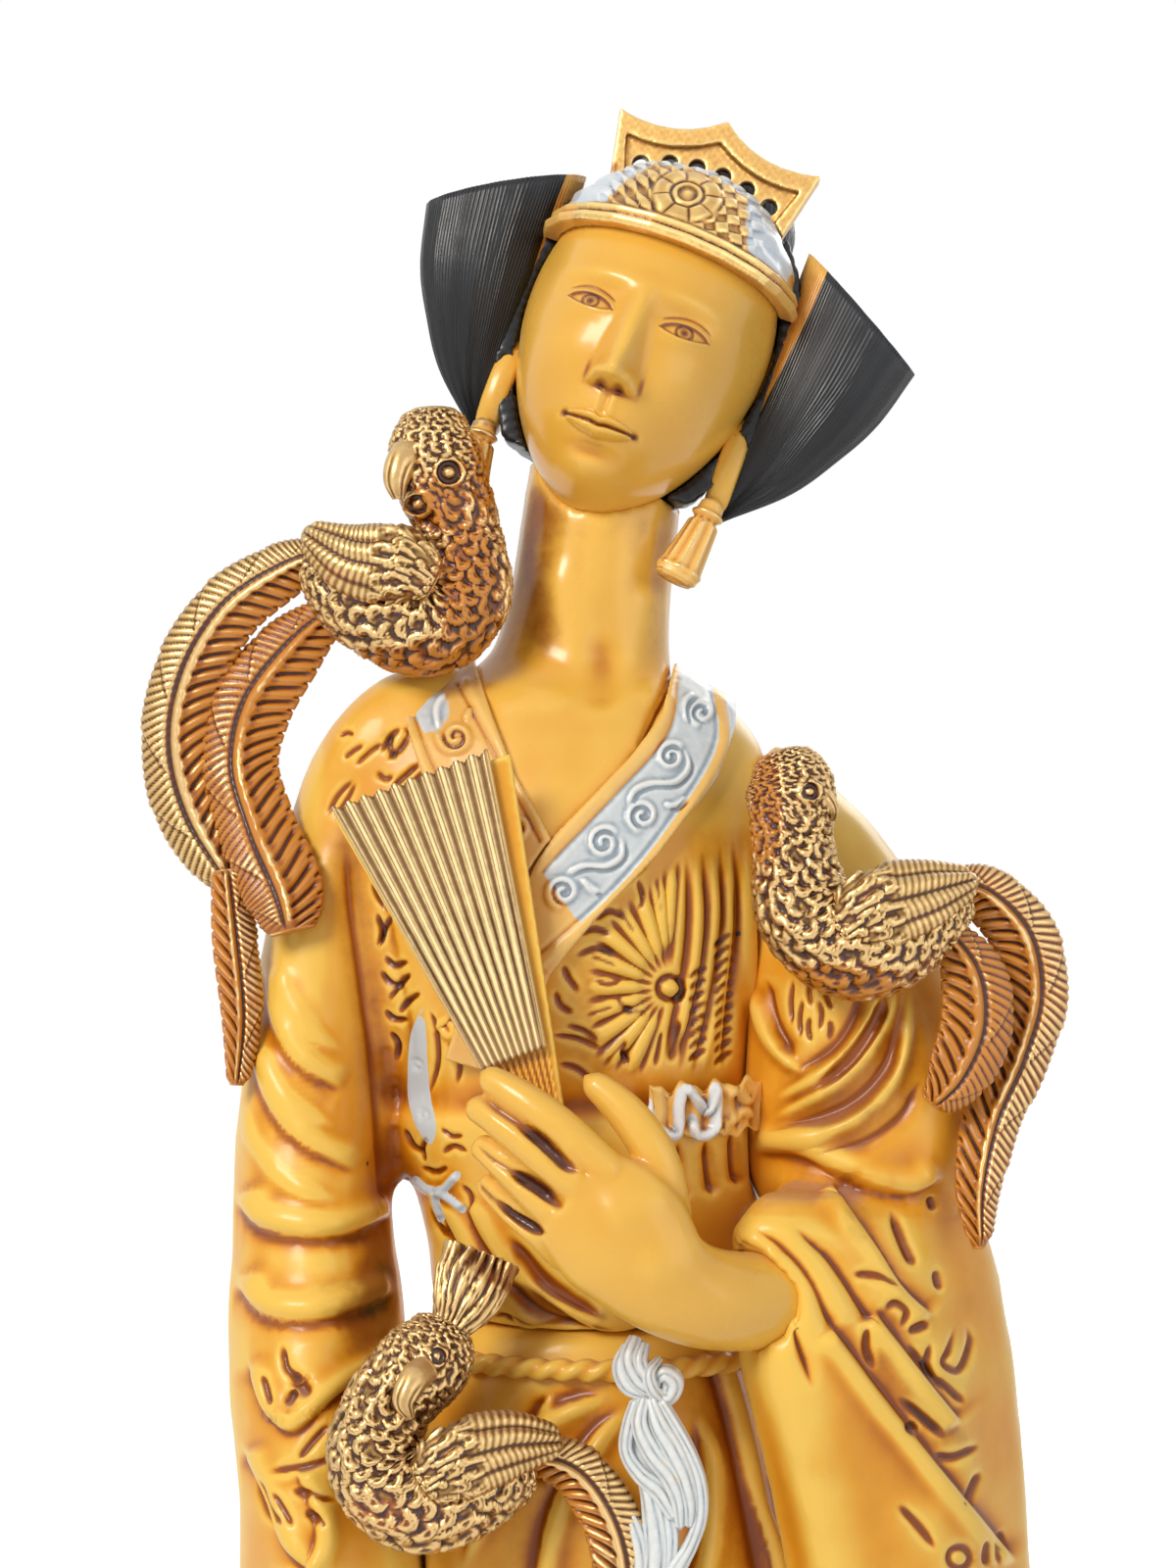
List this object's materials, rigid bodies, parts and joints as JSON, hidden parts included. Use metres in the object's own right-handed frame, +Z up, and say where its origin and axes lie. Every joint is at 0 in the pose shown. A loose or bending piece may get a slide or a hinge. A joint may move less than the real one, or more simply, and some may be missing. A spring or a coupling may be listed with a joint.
{
  "type": "figurine",
  "caption": "Standing figurine of a lady in a long robe, her hand holding a half-open fan, with long-tailed birds at shoulders and waist, on an oval plinth.",
  "frame": {"origin": "middle of the felt's underside, where the figurine stands", "axes": "+Z up, the figure faces -Y, +X towards her left hand side (the viewer's right)"},
  "size_m": [0.0925, 0.066, 0.2698],
  "materials": {
    "robe_resin": "glossy amber resin with brown stain in the folds",
    "skin_resin": "glossy honey-coloured resin",
    "black_hair": "glossy black paint over combed grooves",
    "gold_paint": "worn gold paint on resin",
    "white_paint": "satin cold white paint on resin",
    "dark_wood": "dark varnished wood",
    "felt": "green-black felt",
    "steel": "plain steel"
  },
  "bodies": {
    "root": {"head": "skin_resin", "neck_and_bosom": "skin_resin", "left_hand": "skin_resin", "robe_body": "robe_resin", "right_sleeve": "robe_resin", "right_sleeve_fall": "robe_resin", "left_sleeve": "robe_resin", "left_sleeve_fall": "robe_resin", "skirt": "robe_resin", "sash": "robe_resin", "sash_bow": "robe_resin", "sash_cord": "robe_resin", "fan_sticks": "robe_resin", "over_lapel": "white_paint", "under_lapel": "white_paint", "collar_back": "white_paint", "sash_frill": "white_paint", "cord_knot": "white_paint", "cord_tassel": "white_paint", "hair_cap": "black_hair", "hair_bun": "black_hair", "hair_wing_right": "black_hair", "hair_wing_left": "black_hair", "head_band": "gold_paint", "hair_comb": "gold_paint", "earring_right": "gold_paint", "earring_left": "gold_paint", "fan_leaf": "gold_paint", "right_shoulder_bird": "gold_paint", "right_bird_outer_tail": "gold_paint", "right_bird_inner_tail": "gold_paint", "right_bird_low_tail": "gold_paint", "left_shoulder_bird": "gold_paint", "left_bird_outer_tail": "gold_paint", "left_bird_inner_tail": "gold_paint", "waist_bird": "gold_paint", "waist_bird_crest": "gold_paint", "waist_bird_tail": "gold_paint", "plinth": "dark_wood", "felt_pad": "felt", "plinth_screw_1": "steel", "plinth_screw_2": "steel"}
  },
  "joints": []
}
